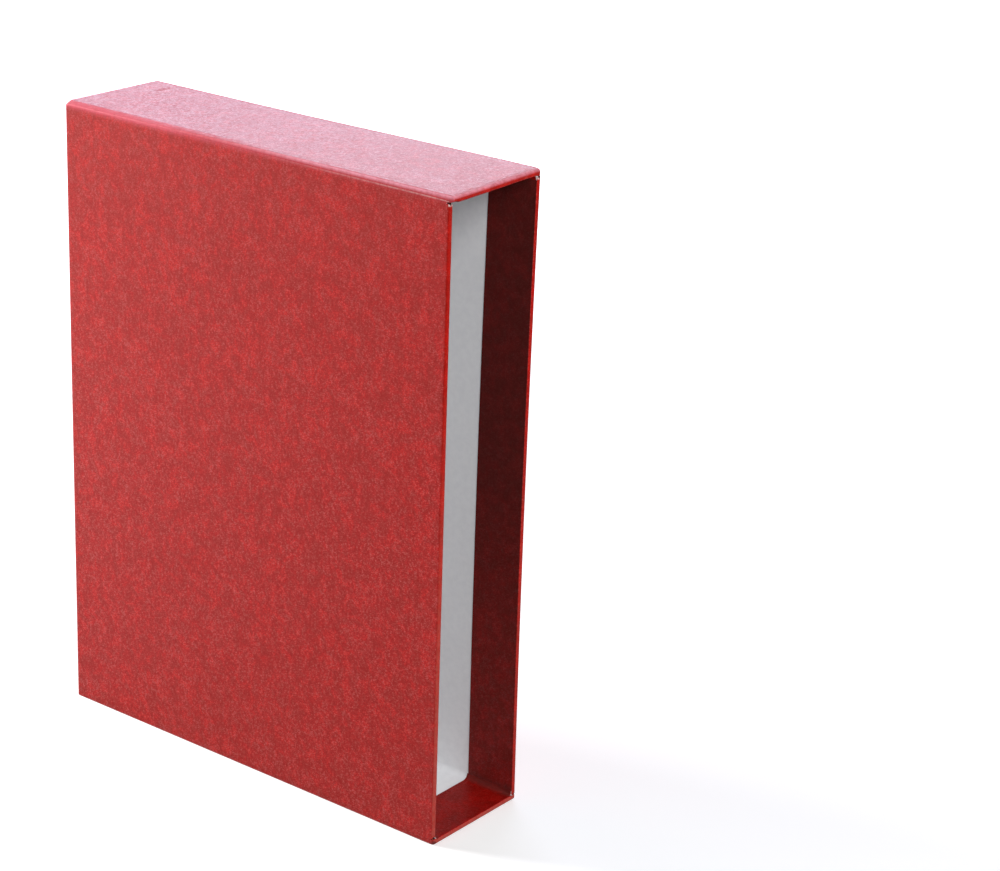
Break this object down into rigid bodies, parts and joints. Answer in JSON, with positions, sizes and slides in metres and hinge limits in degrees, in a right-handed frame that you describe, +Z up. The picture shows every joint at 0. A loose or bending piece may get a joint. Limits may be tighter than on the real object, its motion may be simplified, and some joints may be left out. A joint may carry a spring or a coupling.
{
  "type": "album slipcase",
  "caption": "Upright board slipcase for an album, covered in red leatherette, lined in white and open along a long edge.",
  "frame": {"origin": "centre of the tail's outside face, on the surface that the case stands on", "axes": "+Z up from tail to head; -Y out of the open mouth, +Y towards the spine; +X through the thickness, to the right seen from the mouth"},
  "size_m": [0.0632, 0.242, 0.32],
  "materials": {
    "cover_paper": "red leatherette, paper-backed, fine embossed grain, cloudy mottling, semi-gloss",
    "greyboard": "solid grey recycled board, fibrous cut edges",
    "stay_tape": "gummed kraft paper tape, matt",
    "lining_paper": "smooth white lining paper, matt"
  },
  "bodies": {
    "root": {"wall_cover": "cover_paper", "left_side_cover": "cover_paper", "right_side_cover": "cover_paper", "left_side_board": "greyboard", "right_side_board": "greyboard", "spine_board": "greyboard", "head_board": "greyboard", "tail_board": "greyboard", "left_tail_stay": "stay_tape", "right_tail_stay": "stay_tape", "left_head_stay": "stay_tape", "right_head_stay": "stay_tape", "left_spine_stay": "stay_tape", "right_spine_stay": "stay_tape", "tail_spine_stay": "stay_tape", "head_spine_stay": "stay_tape", "wall_lining": "lining_paper", "left_side_lining": "lining_paper", "right_side_lining": "lining_paper"}
  },
  "joints": []
}
